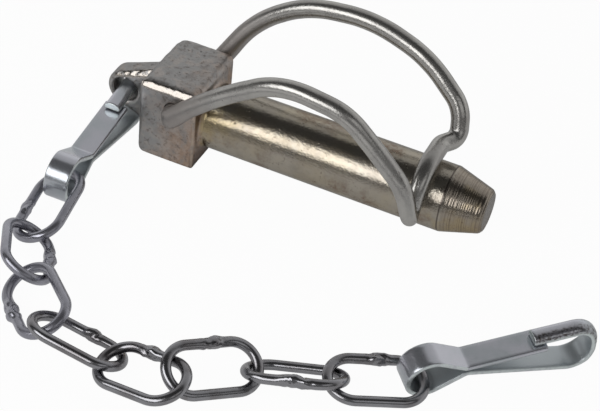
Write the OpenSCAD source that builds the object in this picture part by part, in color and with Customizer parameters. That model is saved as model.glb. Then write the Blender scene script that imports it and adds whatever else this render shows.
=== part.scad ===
// Lynch pin: a square-headed locking pin with a spring wire bail, an eight-link chain and two snap hooks.
// Units are millimetres. The origin is on the shank's axis at the shoulder of the head.
// X runs along the shank to its tip, Y along the bail's pivot and Z up. The floor is at z = floor_z.

/* [Node] */
// Which piece to draw

/* [Head] */
// Length of the head block along the shank
head_length = 15; // [13:0.5:18]
// Width of the head block along the pivot
head_width = 20.5; // [19:0.5:22]
// Height of the head block
head_height = 21.5; // [20:0.5:24]
// Height of the bail's pivot above the shank's axis
pivot_height = 5; // [3:0.5:6]
// Distance of the bail's pivot behind the shoulder
pivot_setback = 5.8; // [5:0.1:8]

/* [Lug] */
// Thickness of the lug behind the head
lug_thickness = 5.9; // [5:0.1:7]
// Radius of the lug's rounded end
lug_end_r = 4.9; // [4.5:0.1:5.5]
// Radius of the hole in the lug
lug_hole_r = 3.15; // [3:0.05:3.3]

/* [Shank] */
// Radius of the shank
shank_r = 8; // [7.5:0.25:8]
// Length of the full shank from the shoulder to the tip's cone
shank_length = 61; // [60:0.5:66]
// Length of the cone
tip_length = 9.5; // [8:0.5:12]
// Radius at the end of the cone
tip_r = 5.2; // [4.5:0.1:6]

/* [Bail] */
// Diameter of the bail's wire
bail_d = 4.4; // [4:0.1:4.6]
// Running clearance between the bail's wire and its bore, on the radius
bore_clearance = 0.08; // [0.03:0.01:0.1]
// Gap between the bail's crossing and the shank
bail_gap = 0.1; // [0.05:0.05:0.3]

/* [Chain] */
// Diameter of the links' wire
link_d = 2.3; // [2:0.1:2.4]
// Outer length of a link
link_length = 23.2; // [22:0.2:25]
// Outer width of a link
link_width = 13.3; // [12.5:0.1:14]

/* [Hooks] */
// Width of the hooks' strip
strip_width = 5.8; // [5:0.1:6.5]
// Thickness of the hooks' strip
strip_t = 1.2; // [1:0.1:1.3]
// Width of the hooks' narrowed nose
nose_width = 3.9; // [3.5:0.1:4.5]

/* [Hidden] */
$fn = 96;
wire_grey = [0.62, 0.63, 0.65];
zinc = [0.72, 0.69, 0.6];
strip_grey = [0.6, 0.63, 0.68];
link_grey = [0.45, 0.46, 0.5];

bail_r = bail_d / 2;
bore_r = bail_r + bore_clearance;
link_r = link_d / 2;
floor_z = -head_height / 2 + 0.35;
head_z = 0.35;

function unit(v) = v / norm(v);
function turn_angle(a, b) = acos(max(-1, min(1, a * b)));
function frame(x, y, z, o) = [
  [x[0], y[0], z[0], o[0]],
  [x[1], y[1], z[1], o[1]],
  [x[2], y[2], z[2], o[2]],
  [0, 0, 0, 1],
];

// A rectangle with its own radius at each corner: radii are for -x -y, +x -y, +x +y and -x +y.
module rounded_rect(x0, y0, x1, y1, radii) {
  corners = [[x0, y0, 1, 1], [x1, y0, -1, 1], [x1, y1, -1, -1], [x0, y1, 1, -1]];
  difference() {
    translate([x0, y0])
      square([x1 - x0, y1 - y0]);
    for (i = [0:3])
      translate([corners[i][0], corners[i][1]])
        scale([corners[i][2], corners[i][3]])
          difference() {
            translate([-1, -1])
              square(radii[i] + 1);
            translate([radii[i], radii[i]])
              circle(radii[i]);
          }
  }
}

// The sections across the middle of a forged block, each with its own rounded corners.
module head_block() {
  x0 = -head_length;
  y1 = head_width / 2;
  z0 = head_z - head_height / 2;
  z1 = head_z + head_height / 2;
  intersection() {
    translate([0, 0, z0])
      linear_extrude(head_height)
        rounded_rect(x0, -y1, 0, y1, [1.4, 0.7, 0.7, 1.4]);
    translate([0, y1, 0])
      rotate([90, 0, 0])
        linear_extrude(head_width)
          rounded_rect(x0, z0, 0, z1, [2.6, 0.8, 0.8, 1.4]);
    rotate([90, 0, 90])
      translate([0, 0, x0])
        linear_extrude(head_length)
          rounded_rect(-y1, z0, y1, z1, [1, 1, 1, 1]);
  }
}

lug_x = -head_length - 7.4;
lug_z = 0.2;
lug_root = 8.2;

// Angle at which the tangent from a point touches a circle about the origin.
function tangent_angle(p, r, side) = atan2(p[1], p[0]) + side * acos(r / norm(p));
// Where the tangents at two angles of a circle meet.
function tangent_corner(c, r, a, b) = c + r / cos((b - a) / 2) * [cos((a + b) / 2), sin((a + b) / 2)];

module lug_plate() {
  top = [-head_length - lug_x + 1, lug_root + 0.35];
  low = [top[0], -top[1]];
  a = tangent_angle(top, lug_end_r, 1);
  t1 = lug_end_r * [cos(a), sin(a)];
  t2 = lug_end_r * [cos(a), -sin(a)];
  translate([lug_x, lug_thickness / 2, lug_z])
    rotate([90, 0, 0])
      linear_extrude(lug_thickness)
        difference() {
          union() {
            circle(lug_end_r);
            polygon([[0, 0], t2, low, top, t1]);
          }
          circle(lug_hole_r);
        }
}

// Shank, root fillet and turned tip, about the shank's axis.
module shank() {
  tip = shank_length + tip_length;
  edge = 1;
  root = 1;
  slope = atan2(shank_r - tip_r, tip_length);
  round_r = tip_r - edge * (1 - sin(slope)) / cos(slope);
  rotate([0, 90, 0])
    rotate_extrude() {
      difference() {
        polygon([
          [0, -2],
          [shank_r + root, -2],
          [shank_r + root, 0],
          [shank_r, root],
          [shank_r, shank_length],
          [round_r + edge * cos(slope), tip - edge + edge * sin(slope)],
          [round_r, tip],
          [0, tip],
        ]);
        translate([shank_r + root, root])
          circle(root);
      }
      translate([round_r, tip - edge])
        circle(edge);
    }
}

module pin() {
  color(zinc)
    difference() {
      union() {
        head_block();
        lug_plate();
        shank();
      }
      translate([-pivot_setback, 0, pivot_height])
        rotate([90, 0, 0])
          cylinder(h = head_width + 2, r = bore_r, center = true);
    }
}

// How far each bend reaches along the runs on either side of it. A bend with radius 0 gets the widest
// one that leaves a short straight run to the next bend.
function bend_cuts(pos, dirs, radii) = [
  for (i = [0:len(pos) - 1])
    i == 0 || i == len(pos) - 1 ? 0
    : radii[i] > 0 ? radii[i] * tan(turn_angle(dirs[i - 1], dirs[i]) / 2)
    : min(norm(pos[i] - pos[i - 1]), norm(pos[i + 1] - pos[i])) * 0.46
];

// Metal is drawn a trace thinner in a bend, and each bend laps a little way into its straight runs.
bend_relief = 0.01;
bend_lap = 0.1;

// A round wire along straight runs and true bends. Each point is [x, y, z, bend radius].
module wire_path(points, r) {
  last = len(points) - 1;
  pos = [for (p = points) [p[0], p[1], p[2]]];
  dirs = [for (i = [0:last - 1]) unit(pos[i + 1] - pos[i])];
  cuts = bend_cuts(pos, dirs, [for (p = points) p[3]]);
  for (i = [0:last - 1]) {
    run = norm(pos[i + 1] - pos[i]) - cuts[i] - cuts[i + 1];
    side = unit(cross(dirs[i], abs(dirs[i][2]) < 0.9 ? [0, 0, 1] : [1, 0, 0]));
    multmatrix(frame(side, cross(dirs[i], side), dirs[i], pos[i] + dirs[i] * cuts[i]))
      cylinder(h = run, r = r);
  }
  for (i = [1:last - 1]) {
    angle = turn_angle(dirs[i - 1], dirs[i]);
    inward = unit(dirs[i] - dirs[i - 1] * (dirs[i] * dirs[i - 1]));
    bend_r = cuts[i] / tan(angle / 2);
    lap = asin(bend_lap / bend_r);
    centre = pos[i] - dirs[i - 1] * cuts[i] + inward * bend_r;
    multmatrix(frame(-inward, dirs[i - 1], cross(-inward, dirs[i - 1]), centre))
      rotate([0, 0, -lap])
        rotate_extrude(angle = angle + 2 * lap)
          translate([bend_r, 0])
            circle(r - bend_relief);
  }
}

// Route of the bail from the near bore, along the near arm, round the shank and back to the far bore.
bail_x = 55.3;
wrap_r = shank_r + bail_gap + bail_r;
wrap_start = 7.2;
bail_route = [
  [-pivot_setback, -6, pivot_height, 0],
  [-pivot_setback, -12.9, pivot_height, 2.4],
  [7.5, -15, 18, 0],
  [23, -16.8, 29, 0],
  [39, -17, 27, 0],
  [46, -16.2, 20, 0],
  [54, -15.2, 11, 0],
  [56.4, -15.2, 1.2, 2.4],
  [bail_x, -10.8, 0, 2.4],
  [bail_x, -wrap_start, wrap_r, wrap_r],
  [bail_x, 5, wrap_r, 3],
  [58, 9.5, 10, 3],
  [56.5, 12.5, 16.5, 0],
  [46, 15.5, 24.5, 0],
  [31, 17.3, 28.5, 0],
  [14.5, 17.3, 26.5, 0],
  [2, 16.5, 18, 0],
  [-pivot_setback, 12.9, pivot_height, 2.4],
  [-pivot_setback, 6, pivot_height, 0],
];

module bail() {
  color(wire_grey)
    wire_path(bail_route, bail_r);
}

// One link, centred, its long side along X and its flat across Z, with a rough weld on its +Y side.
module link() {
  weld_r = link_r + 0.14;
  weld_half = 0.9;
  weld_run = 0.6;

  bend_r = link_width / 2 - link_r;
  half = (link_length - link_width) / 2;
  for (side = [-1, 1]) {
    translate([-half, side * bend_r, 0])
      rotate([0, 90, 0])
        cylinder(h = 2 * half, r = link_r);
    translate([side * half, 0, 0])
      rotate([0, 0, side * 90 - 180])
        rotate_extrude(angle = 180)
          translate([bend_r, 0])
            circle(link_r);
  }
  translate([0.6, bend_r, 0])
    rotate([0, 90, 0])
      rotate_extrude()
        polygon([
          [0, -weld_half - weld_run],
          [link_r - 0.1, -weld_half - weld_run],
          [weld_r, -weld_half],
          [weld_r, weld_half],
          [link_r - 0.1, weld_half + weld_run],
          [0, weld_half + weld_run],
        ]);
}

// Height of a link's centre above the floor when it lies on it at this pitch and roll.
function link_rest(pitch, roll) =
  let (
    nx = sin(pitch),
    ny = cos(pitch) * sin(roll),
    bend_r = link_width / 2 - link_r,
    half = (link_length - link_width) / 2
  )
  half * abs(nx) + bend_r * sqrt(nx * nx + ny * ny) + link_r;

// Where each link lies from the lug hook's eye: x, y, heading, pitch, roll and how far it is lifted off the
// floor. The places are for links 23.2 long and spread with the link's length.
link_places = [
  [0.7, -8, -84, 8, 22, 0.7],
  [4.9, -24.1, -61, -12, -33, 0],
  [14.4, -36.5, -43, -7, 27, 0.9],
  [27.7, -42.1, 1, 10, -24, 0.1],
  [44.2, -44.5, -10, -13, 10, 1.6],
  [56.5, -36.6, 47, 11, 28, 1.2],
  [71.7, -28.4, 14, -7, -29, 0.1],
  [87.2, -21.3, 31, 5, 7, 2],
];
link_spread = link_length / 23.2;

module placed_link(i) {
  place = link_places[i - 1];
  xy = link_xy(i);
  color(link_grey)
    translate([xy[0], xy[1], floor_z + link_rest(place[3], place[4]) + place[5]])
      rotate([0, 0, place[2]])
        rotate([0, place[3], 0])
          rotate([place[4], 0, 0])
            link();
}

module link_1() { placed_link(1); }
module link_2() { placed_link(2); }
module link_3() { placed_link(3); }
module link_4() { placed_link(4); }
module link_5() { placed_link(5); }
module link_6() { placed_link(6); }
module link_7() { placed_link(7); }
module link_8() { placed_link(8); }

// A flat strip along straight runs and true bends in the XY plane. Each point is [x, y, bend radius].
module strip_path(points, width, t) {
  last = len(points) - 1;
  pos = [for (p = points) [p[0], p[1], 0]];
  dirs = [for (i = [0:last - 1]) unit(pos[i + 1] - pos[i])];
  cuts = [
    for (i = [0:last])
      i == 0 || i == last ? 0 : points[i][2] * tan(turn_angle(dirs[i - 1], dirs[i]) / 2)
  ];
  for (i = [0:last - 1]) {
    run = norm(pos[i + 1] - pos[i]) - cuts[i] - cuts[i + 1];
    translate(pos[i] + dirs[i] * cuts[i])
      rotate([0, 0, atan2(dirs[i][1], dirs[i][0])])
        translate([0, -t / 2, -width / 2])
          cube([run, t, width]);
  }
  for (i = [1:last - 1]) {
    angle = turn_angle(dirs[i - 1], dirs[i]);
    inward = unit(dirs[i] - dirs[i - 1] * (dirs[i] * dirs[i - 1]));
    lap = asin(bend_lap / points[i][2]);
    centre = pos[i] - dirs[i - 1] * cuts[i] + inward * points[i][2];
    multmatrix(frame(-inward, dirs[i - 1], cross(-inward, dirs[i - 1]), centre))
      rotate([0, 0, -lap])
        rotate_extrude(angle = angle + 2 * lap)
          translate([points[i][2], 0])
            square([t - 2 * bend_relief, width - 2 * bend_relief], center = true);
  }
}

// Snap hook in its own frame: X from the eye to the nose's bend, Y from the back leg to the front leg.
hook_front = [0, -0.6];
hook_front_x = 18.5;
hook_front_y = 0.3;
hook_back = [0.3, -2.15];
eye_at = [-8.5, -1.35];
eye_r = 4.75;
eye_flat = 0.4;
back_slope = -0.255;
hook_end_x = 30.4;
hook_bend_r = 4.9;
hook_nose_x = 15.5;

function on_back_leg(x) = [x, hook_back[1] + back_slope * (x - hook_back[0])];

module hook() {
  low = on_back_leg(hook_end_x);
  upper = eye_at + [0, eye_flat / 2];
  lower = eye_at - [0, eye_flat / 2];
  eye_top = tangent_corner(upper, eye_r, tangent_angle(hook_front - upper, eye_r, 1), 180);
  eye_low = tangent_corner(lower, eye_r, tangent_angle(hook_back - lower, eye_r, -1), -180);
  difference() {
    strip_path([
      [hook_front_x, hook_front_y, 0],
      [hook_front[0], hook_front[1], 2],
      [eye_top[0], eye_top[1], eye_r],
      [eye_low[0], eye_low[1], eye_r],
      [hook_back[0], hook_back[1], 2],
      [low[0], low[1], hook_bend_r],
      [hook_end_x, 2.65, hook_bend_r],
      [hook_nose_x, 2.05, 0],
    ], strip_width, strip_t);
    for (side = [-1, 1])
      nose_cut(side);
  }
}

// What narrows the nose on one side: beside the nose's straight run, and down the outside of its bend.
module nose_cut(side) {
  outer = side * (strip_width / 2 + 1);
  flush = side * strip_width / 2;
  nose = side * nose_width / 2;
  above_front = hook_front_y + strip_t / 2 + 0.2;
  rotate([90, 0, 90]) {
    translate([0, 0, hook_nose_x - 1])
      linear_extrude(hook_end_x - hook_nose_x + 3)
        polygon([[above_front, nose], [5, nose], [5, outer], [above_front, outer]]);
    translate([0, 0, hook_front_x + 0.5])
      linear_extrude(hook_end_x - hook_front_x + 2)
        polygon([[-0.5, nose], [above_front + 1, nose], [above_front + 1, outer], [-7, outer], [-7, flush]]);
  }
}

// The lug hook's neck, with its nose in the lug's hole, and the middle of its eye.
lug_hook_at = [lug_x + 1.7, 3.9 - hook_end_x, lug_z - 1.8];
chain_start = [lug_hook_at[0] + 0.2, lug_hook_at[1] + eye_at[0]];

// Centre of a link on the floor plan.
function link_xy(i) = chain_start + [link_places[i - 1][0], link_places[i - 1][1]] * link_spread;

// The free hook's neck, with its eye round the end of the last link.
last_heading = link_places[7][2];
last_growth = (link_spread - 1) * 11.6 * [cos(last_heading), sin(last_heading)];
free_hook_xy = link_xy(8) + [14.6, 11.7] + last_growth;
free_hook_at = [free_hook_xy[0], free_hook_xy[1], floor_z + 8.25];

// The hook's own frame turned by heading, pitch and roll, with its neck at a point.
module placed_hook(at, heading, pitch, roll) {
  color(strip_grey)
    translate(at)
      rotate([0, 0, heading])
        rotate([0, pitch, 0])
          rotate([90 + roll, 0, 0])
            hook();
}

module lug_hook() {
  placed_hook(lug_hook_at, 93, -1, 2.5);
}

module free_hook() {
  placed_hook(free_hook_at, 43.3, -2.5, 8.3);
}

pin();
bail();
lug_hook();
link_1();
link_2();
link_3();
link_4();
link_5();
link_6();
link_7();
link_8();
free_hook();
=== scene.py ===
"""Lynch pin with a sprung wire bail, a short chain and two snap hooks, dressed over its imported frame."""
import logging
import math
from dataclasses import dataclass, field
from enum import Enum
from typing import Callable, Iterable, Sequence

import bmesh
import bpy
import numpy as np
from mathutils import Matrix, Vector, noise


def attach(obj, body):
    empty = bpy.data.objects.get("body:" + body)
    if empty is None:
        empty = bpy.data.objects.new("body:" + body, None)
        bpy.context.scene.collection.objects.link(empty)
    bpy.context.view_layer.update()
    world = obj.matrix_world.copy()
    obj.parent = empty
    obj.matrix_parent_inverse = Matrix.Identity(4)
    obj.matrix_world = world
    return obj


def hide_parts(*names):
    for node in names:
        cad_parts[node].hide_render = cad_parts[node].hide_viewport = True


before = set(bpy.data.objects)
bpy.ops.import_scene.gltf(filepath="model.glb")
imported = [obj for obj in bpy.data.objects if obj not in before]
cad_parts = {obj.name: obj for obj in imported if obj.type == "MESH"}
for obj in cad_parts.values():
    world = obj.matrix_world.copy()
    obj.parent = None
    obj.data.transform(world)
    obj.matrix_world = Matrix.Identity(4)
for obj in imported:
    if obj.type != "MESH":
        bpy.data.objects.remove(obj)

log = logging.getLogger("lynch_pin")
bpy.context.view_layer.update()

MM = 0.001
FLOOR_Z = -10.4
Array = np.ndarray


class Slot(Enum):
    """The record's material slots that the pieces take their finish from."""

    FORGING = "plated_forging"
    WIRE = "plated_wire"
    STRIP = "plated_strip"
    LINK = "plated_link"


# Vectors and routes


def unit(v: Array) -> Array:
    """The vector scaled to a length of one."""
    return v / np.linalg.norm(v)


def smooth_step(low: float, high: float, x: Array) -> Array:
    """An eased ramp from 0 at low to 1 at high."""
    t = np.clip((x - low) / (high - low), 0.0, 1.0)
    return t * t * (3.0 - 2.0 * t)


@dataclass(frozen=True)
class Route:
    """Straight runs joined by round bends.

    Args:
        corners: Where the runs would meet, in mm.
        bends: The bend radius at each corner. A bend of 0 takes most of its shorter run.
        step: The longest distance between two points of the result, in mm.
    """

    corners: Sequence[Sequence[float]]
    bends: Sequence[float]
    step: float = 0.35
    auto_share: float = 0.46

    def points(self) -> Array:
        """The centre line as points in mm."""
        pos = np.array(self.corners, float)
        runs = np.diff(pos, axis=0)
        lengths = np.linalg.norm(runs, axis=1)
        dirs = runs / lengths[:, None]
        out = [pos[0]]
        for i in range(1, len(pos) - 1):
            angle = math.acos(float(np.clip(dirs[i - 1] @ dirs[i], -1.0, 1.0)))
            if angle < 1e-4:
                continue
            cut = self.bends[i] * math.tan(angle / 2.0)
            if self.bends[i] <= 0.0:
                cut = self.auto_share * min(lengths[i - 1], lengths[i])
            radius = cut / math.tan(angle / 2.0)
            inward = unit(dirs[i] - dirs[i - 1] * (dirs[i] @ dirs[i - 1]))
            start = pos[i] - dirs[i - 1] * cut
            centre = start + inward * radius
            turns = max(6, int(math.ceil(angle * radius / self.step)))
            for turn in np.linspace(0.0, angle, turns + 1):
                spoke = -inward * math.cos(turn) + dirs[i - 1] * math.sin(turn)
                out.append(centre + spoke * radius)
        out.append(pos[-1])
        return self.filled(np.array(out))

    def filled(self, points: Array) -> Array:
        """The points with more of them put into the long straight runs."""
        out = [points[0]]
        for a, b in zip(points[:-1], points[1:]):
            gap = float(np.linalg.norm(b - a))
            if gap < 1e-6:
                continue
            parts = max(1, int(math.ceil(gap / self.step)))
            out += [a + (b - a) * k / parts for k in range(1, parts + 1)]
        return np.array(out)


def transported(points: Array, first: Array, closed: bool) -> tuple[Array, Array]:
    """Section axes carried along a line without twist.

    Args:
        points: The centre line.
        first: A direction that the first section's side axis follows.
        closed: Whether the line joins its own start.

    Returns:
        The side axis and the top axis at each point.
    """
    count = len(points)
    if closed:
        tangents = np.roll(points, -1, axis=0) - np.roll(points, 1, axis=0)
    else:
        tangents = np.gradient(points, axis=0)
    tangents /= np.linalg.norm(tangents, axis=1)[:, None]
    side = unit(first - tangents[0] * (first @ tangents[0]))
    sides = np.zeros((count, 3))
    for i in range(count):
        side = unit(side - tangents[i] * (side @ tangents[i]))
        sides[i] = side
    return sides, np.cross(tangents, sides)


def grid_mesh(name: str, rings: Array, closed: bool) -> bpy.types.Mesh:
    """A skin over rings of points, capped at its ends unless it is closed on itself.

    Args:
        name: The mesh's name.
        rings: Points by ring and place in the ring, in mm.
        closed: Whether the last ring joins the first.

    Returns:
        The mesh, in metres and shaded smooth.
    """
    count, sides = rings.shape[:2]
    i = np.arange(count if closed else count - 1)
    j = np.arange(sides)
    a = i[:, None] * sides + j[None]
    b = i[:, None] * sides + (j[None] + 1) % sides
    c = ((i[:, None] + 1) % count) * sides + (j[None] + 1) % sides
    d = ((i[:, None] + 1) % count) * sides + j[None]
    faces = np.stack([a, b, c, d], axis=-1).reshape(-1, 4).tolist()
    points = rings.reshape(-1, 3)
    if not closed:
        centres = [rings[0].mean(axis=0), rings[-1].mean(axis=0)]
        base = len(points)
        points = np.vstack([points, centres])
        last = (count - 1) * sides
        faces += [[base, int((k + 1) % sides), int(k)] for k in range(sides)]
        faces += [[base + 1, last + k, last + (k + 1) % sides] for k in range(sides)]
    mesh = bpy.data.meshes.new(name)
    mesh.from_pydata((points * MM).tolist(), [], faces)
    mesh.validate()
    mesh.update()
    mesh.shade_smooth()
    if not closed:
        smooth = np.ones(len(mesh.polygons), bool)
        smooth[-2 * sides :] = False
        mesh.polygons.foreach_set("use_smooth", smooth)
    return mesh


def crisp_edges(mesh: bpy.types.Mesh, angle: float) -> None:
    """Marks the edges sharper than an angle, in degrees, so that they shade crisp."""
    work = bmesh.new()
    work.from_mesh(mesh)
    bmesh.ops.recalc_face_normals(work, faces=work.faces)
    for edge in work.edges:
        if len(edge.link_faces) == 2:
            edge.smooth = edge.calc_face_angle() < math.radians(angle)
    work.to_mesh(mesh)
    work.free()


def add_piece(mesh: bpy.types.Mesh, node: str, material: bpy.types.Material) -> bpy.types.Object:
    """Puts a mesh in the scene in place of a CAD node and on its body.

    Args:
        mesh: The piece's mesh.
        node: The CAD node that it stands for, which is also its body's name.
        material: Its material.

    Returns:
        The new object.
    """
    piece = bpy.data.objects.new(mesh.name, mesh)
    bpy.context.scene.collection.objects.link(piece)
    mesh.materials.clear()
    mesh.materials.append(material)
    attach(piece, node)
    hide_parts(node)
    log.info("%s: %d faces", piece.name, len(mesh.polygons))
    return piece


# Shader groups


class NodeDesk:
    """Small helpers to lay nodes in one tree."""

    def __init__(self, tree: bpy.types.NodeTree) -> None:
        """Keeps the tree that the nodes go into."""
        self.tree = tree

    def node(self, kind: str, **values: object) -> bpy.types.Node:
        """A new node with its own properties set."""
        made = self.tree.nodes.new(kind)
        for key, value in values.items():
            setattr(made, key, value)
        return made

    def link(self, source: bpy.types.NodeSocket, target: bpy.types.NodeSocket) -> None:
        """Joins two sockets."""
        self.tree.links.new(source, target)

    def feed(self, target: bpy.types.NodeSocket, value: object) -> None:
        """Sets a socket to a value, or joins it to another socket."""
        if isinstance(value, bpy.types.NodeSocket):
            self.link(value, target)
        else:
            target.default_value = value

    def math(self, operation: str, a: object, b: object = 0.0, c: object = 0.0, clamp: bool = False) -> bpy.types.NodeSocket:
        """The result of one sum on two or three values."""
        made = self.node("ShaderNodeMath", operation=operation, use_clamp=clamp)
        for socket, value in zip(made.inputs, (a, b, c)):
            self.feed(socket, value)
        return made.outputs[0]

    def blend(self, share: object, a: object, b: object, blend_type: str = "MIX") -> bpy.types.NodeSocket:
        """Two colours mixed by a share."""
        made = self.node("ShaderNodeMix", data_type="RGBA", blend_type=blend_type)
        made.clamp_factor = True
        self.feed(made.inputs["Factor"], share)
        self.feed(made.inputs["A"], a)
        self.feed(made.inputs["B"], b)
        return made.outputs["Result"]

    def ramp(self, value: object, low: float, high: float, to_low: float = 0.0, to_high: float = 1.0) -> bpy.types.NodeSocket:
        """A value eased from one range into another."""
        made = self.node("ShaderNodeMapRange", interpolation_type="SMOOTHSTEP")
        self.feed(made.inputs["Value"], value)
        made.inputs["From Min"].default_value = low
        made.inputs["From Max"].default_value = high
        made.inputs["To Min"].default_value = to_low
        made.inputs["To Max"].default_value = to_high
        return made.outputs["Result"]

    def noise(self, where: bpy.types.NodeSocket, scale: object, detail: float = 4.0, rough: float = 0.55) -> bpy.types.NodeSocket:
        """Soft noise at a place."""
        made = self.node("ShaderNodeTexNoise")
        self.link(where, made.inputs["Vector"])
        self.feed(made.inputs["Scale"], scale)
        made.inputs["Detail"].default_value = detail
        made.inputs["Roughness"].default_value = rough
        return made.outputs["Fac"]


def new_group(name: str, inputs: dict[str, tuple[str, object]], outputs: dict[str, str]) -> tuple[bpy.types.NodeTree, NodeDesk, bpy.types.Node, bpy.types.Node]:
    """An empty shader group with named sockets.

    Args:
        name: The group's name.
        inputs: Socket type and default value by input name.
        outputs: Socket type by output name.

    Returns:
        The group, its desk, and its input and output nodes.
    """
    group = bpy.data.node_groups.new(name, "ShaderNodeTree")
    for label, (kind, default) in inputs.items():
        socket = group.interface.new_socket(name=label, in_out="INPUT", socket_type=kind)
        if default is not None:
            socket.default_value = default
    for label, kind in outputs.items():
        group.interface.new_socket(name=label, in_out="OUTPUT", socket_type=kind)
    desk = NodeDesk(group)
    return group, desk, desk.node("NodeGroupInput"), desk.node("NodeGroupOutput")


FLOAT = "NodeSocketFloat"
COLOR = "NodeSocketColor"
VECTOR = "NodeSocketVector"


def plating_group() -> bpy.types.NodeTree:
    """Uneven plating: blotches, fine grain and dark pits, as a colour, a roughness and a height."""
    group, desk, source, result = new_group(
        "Plating",
        {
            "Position": (VECTOR, None),
            "Base": (COLOR, (0.6, 0.6, 0.6, 1.0)),
            "Blotch": (COLOR, (0.4, 0.35, 0.3, 1.0)),
            "Stain": (COLOR, (0.2, 0.14, 0.1, 1.0)),
            "Blotch Scale": (FLOAT, 120.0),
            "Blotch Amount": (FLOAT, 0.5),
            "Stain Amount": (FLOAT, 0.3),
            "Pit Scale": (FLOAT, 900.0),
            "Pit Amount": (FLOAT, 0.5),
            "Roughness": (FLOAT, 0.3),
            "Roughness Swing": (FLOAT, 0.15),
            "Grain": (FLOAT, 0.5),
        },
        {"Color": COLOR, "Roughness": FLOAT, "Height": FLOAT},
    )
    where = source.outputs["Position"]
    big = desk.noise(where, source.outputs["Blotch Scale"], 5.0, 0.6)
    blotch = desk.math("MULTIPLY", desk.ramp(big, 0.42, 0.62), source.outputs["Blotch Amount"])
    color = desk.blend(blotch, source.outputs["Base"], source.outputs["Blotch"])
    wide = desk.noise(where, desk.math("MULTIPLY", source.outputs["Blotch Scale"], 0.37), 6.0, 0.7)
    stain = desk.math("MULTIPLY", desk.ramp(wide, 0.56, 0.74), source.outputs["Stain Amount"])
    color = desk.blend(stain, color, source.outputs["Stain"])
    fine = desk.noise(where, source.outputs["Pit Scale"], 2.0, 0.5)
    pits = desk.math("MULTIPLY", desk.ramp(fine, 0.66, 0.76), source.outputs["Pit Amount"])
    color = desk.blend(desk.math("MULTIPLY", pits, 0.8), color, source.outputs["Stain"])
    desk.link(color, result.inputs["Color"])
    swing = desk.math("MULTIPLY", desk.math("SUBTRACT", big, 0.5), source.outputs["Roughness Swing"])
    rough = desk.math("ADD", source.outputs["Roughness"], swing)
    rough = desk.math("ADD", rough, desk.math("MULTIPLY", pits, 0.3), clamp=True)
    desk.link(rough, result.inputs["Roughness"])
    grain = desk.noise(where, desk.math("MULTIPLY", source.outputs["Pit Scale"], 1.7), 3.0, 0.6)
    height = desk.math("MULTIPLY", desk.math("SUBTRACT", grain, 0.5), source.outputs["Grain"])
    height = desk.math("SUBTRACT", height, pits)
    desk.link(height, result.inputs["Height"])
    return group


# Finishes


@dataclass(frozen=True)
class Finish:
    """One plated metal finish.

    Args:
        name: The material's name.
        base: The plating's own colour.
        blotch: The colour of its dull patches.
        stain: The colour of its stains and pits.
    """

    name: str
    base: tuple[float, float, float]
    blotch: tuple[float, float, float]
    stain: tuple[float, float, float]
    blotch_scale: float = 150.0
    blotch_amount: float = 0.5
    stain_amount: float = 0.3
    pit_scale: float = 900.0
    pit_amount: float = 0.4
    roughness: float = 0.3
    roughness_swing: float = 0.2
    grain: float = 0.4
    bump: float = 0.25
    bump_distance: float = 0.00012
    metallic: float = 1.0
    edge_tint: float = 1.0

    def coordinates(self, desk: NodeDesk) -> bpy.types.NodeSocket:
        """The place on the object that the pattern follows."""
        return desk.node("ShaderNodeTexCoord").outputs["Object"]

    def build(self, plating: bpy.types.NodeTree) -> bpy.types.Material:
        """Makes the material.

        Args:
            plating: The shared plating group.

        Returns:
            The material.
        """
        material = bpy.data.materials.new(self.name)
        material.use_nodes = True
        tree = material.node_tree
        tree.nodes.clear()
        desk = NodeDesk(tree)
        where = self.coordinates(desk)
        group = desk.node("ShaderNodeGroup", node_tree=plating)
        desk.link(where, group.inputs["Position"])
        values = {
            "Base": (*self.base, 1.0),
            "Blotch": (*self.blotch, 1.0),
            "Stain": (*self.stain, 1.0),
            "Blotch Scale": self.blotch_scale,
            "Blotch Amount": self.blotch_amount,
            "Stain Amount": self.stain_amount,
            "Pit Scale": self.pit_scale,
            "Pit Amount": self.pit_amount,
            "Roughness": self.roughness,
            "Roughness Swing": self.roughness_swing,
            "Grain": self.grain,
        }
        for label, value in values.items():
            group.inputs[label].default_value = value
        color, rough, height = (group.outputs[k] for k in ("Color", "Roughness", "Height"))
        color, rough, height = self.dress(desk, where, color, rough, height)
        shader = desk.node("ShaderNodeBsdfPrincipled")
        shader.inputs["Metallic"].default_value = self.metallic
        shader.inputs["Specular Tint"].default_value = (self.edge_tint, self.edge_tint, self.edge_tint, 1.0)
        desk.link(color, shader.inputs["Base Color"])
        desk.link(rough, shader.inputs["Roughness"])
        bump = desk.node("ShaderNodeBump")
        bump.inputs["Strength"].default_value = self.bump
        bump.inputs["Distance"].default_value = self.bump_distance
        desk.link(height, bump.inputs["Height"])
        desk.link(bump.outputs["Normal"], shader.inputs["Normal"])
        out = desk.node("ShaderNodeOutputMaterial")
        desk.link(shader.outputs["BSDF"], out.inputs["Surface"])
        return material

    def dress(self, desk: NodeDesk, where: bpy.types.NodeSocket, color: bpy.types.NodeSocket, rough: bpy.types.NodeSocket, height: bpy.types.NodeSocket) -> tuple[bpy.types.NodeSocket, bpy.types.NodeSocket, bpy.types.NodeSocket]:
        """Adds what only this finish has. A plain finish adds nothing."""
        return color, rough, height


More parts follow.
